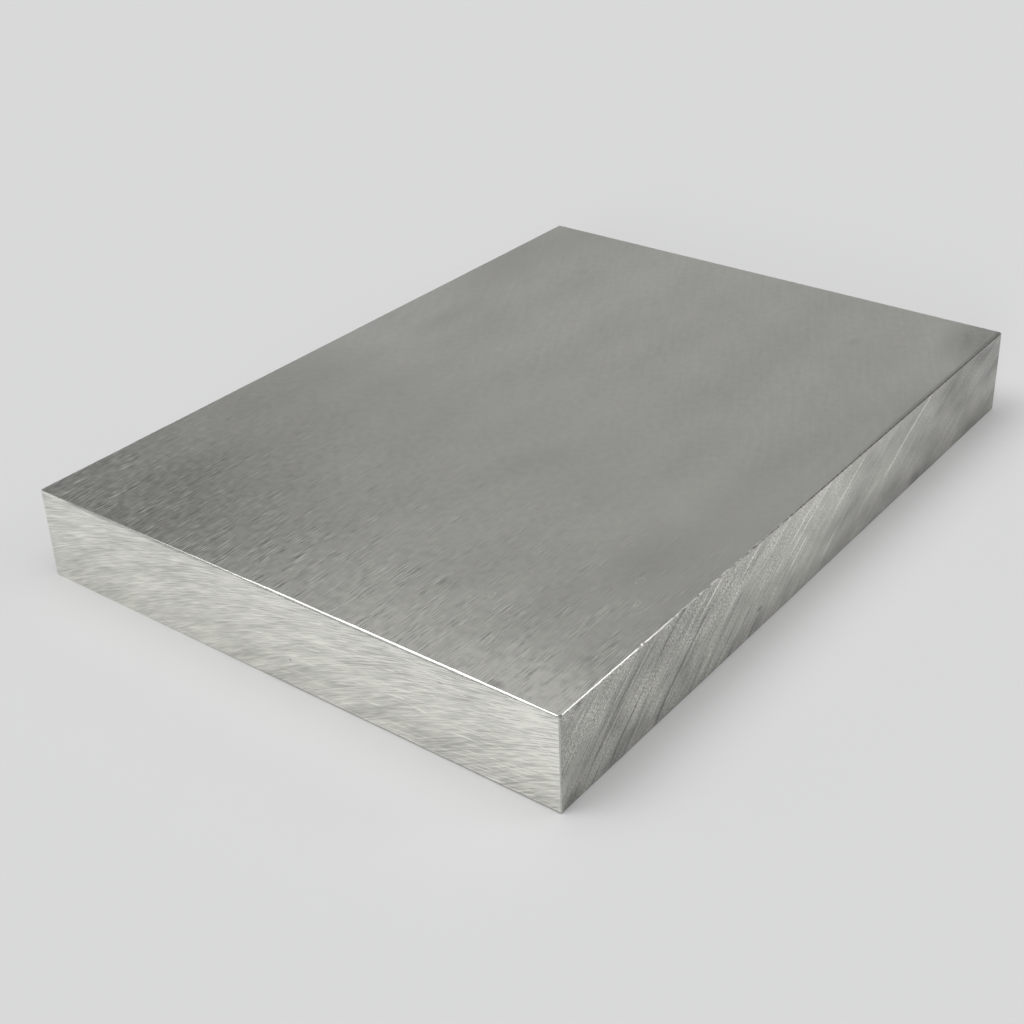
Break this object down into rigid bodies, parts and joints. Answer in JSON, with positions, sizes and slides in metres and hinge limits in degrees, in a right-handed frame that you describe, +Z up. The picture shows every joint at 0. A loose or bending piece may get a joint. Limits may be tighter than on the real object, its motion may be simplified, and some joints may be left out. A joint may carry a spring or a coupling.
{
  "type": "aluminium plate",
  "caption": "Thick rectangular aluminium plate with rolled broad faces, saw-cut ends and sides, and lightly filed edges, lying flat.",
  "frame": {"origin": "centre of the underside", "axes": "+X along the plate's length, +Y across its width, +Z up through its thickness"},
  "size_m": [0.22, 0.16, 0.025],
  "materials": {
    "aluminium": "bare metal: satin rolled broad faces, ends and sides with curved saw marks, edges filed bright"
  },
  "bodies": {
    "root": {"plate": "aluminium"}
  },
  "joints": []
}
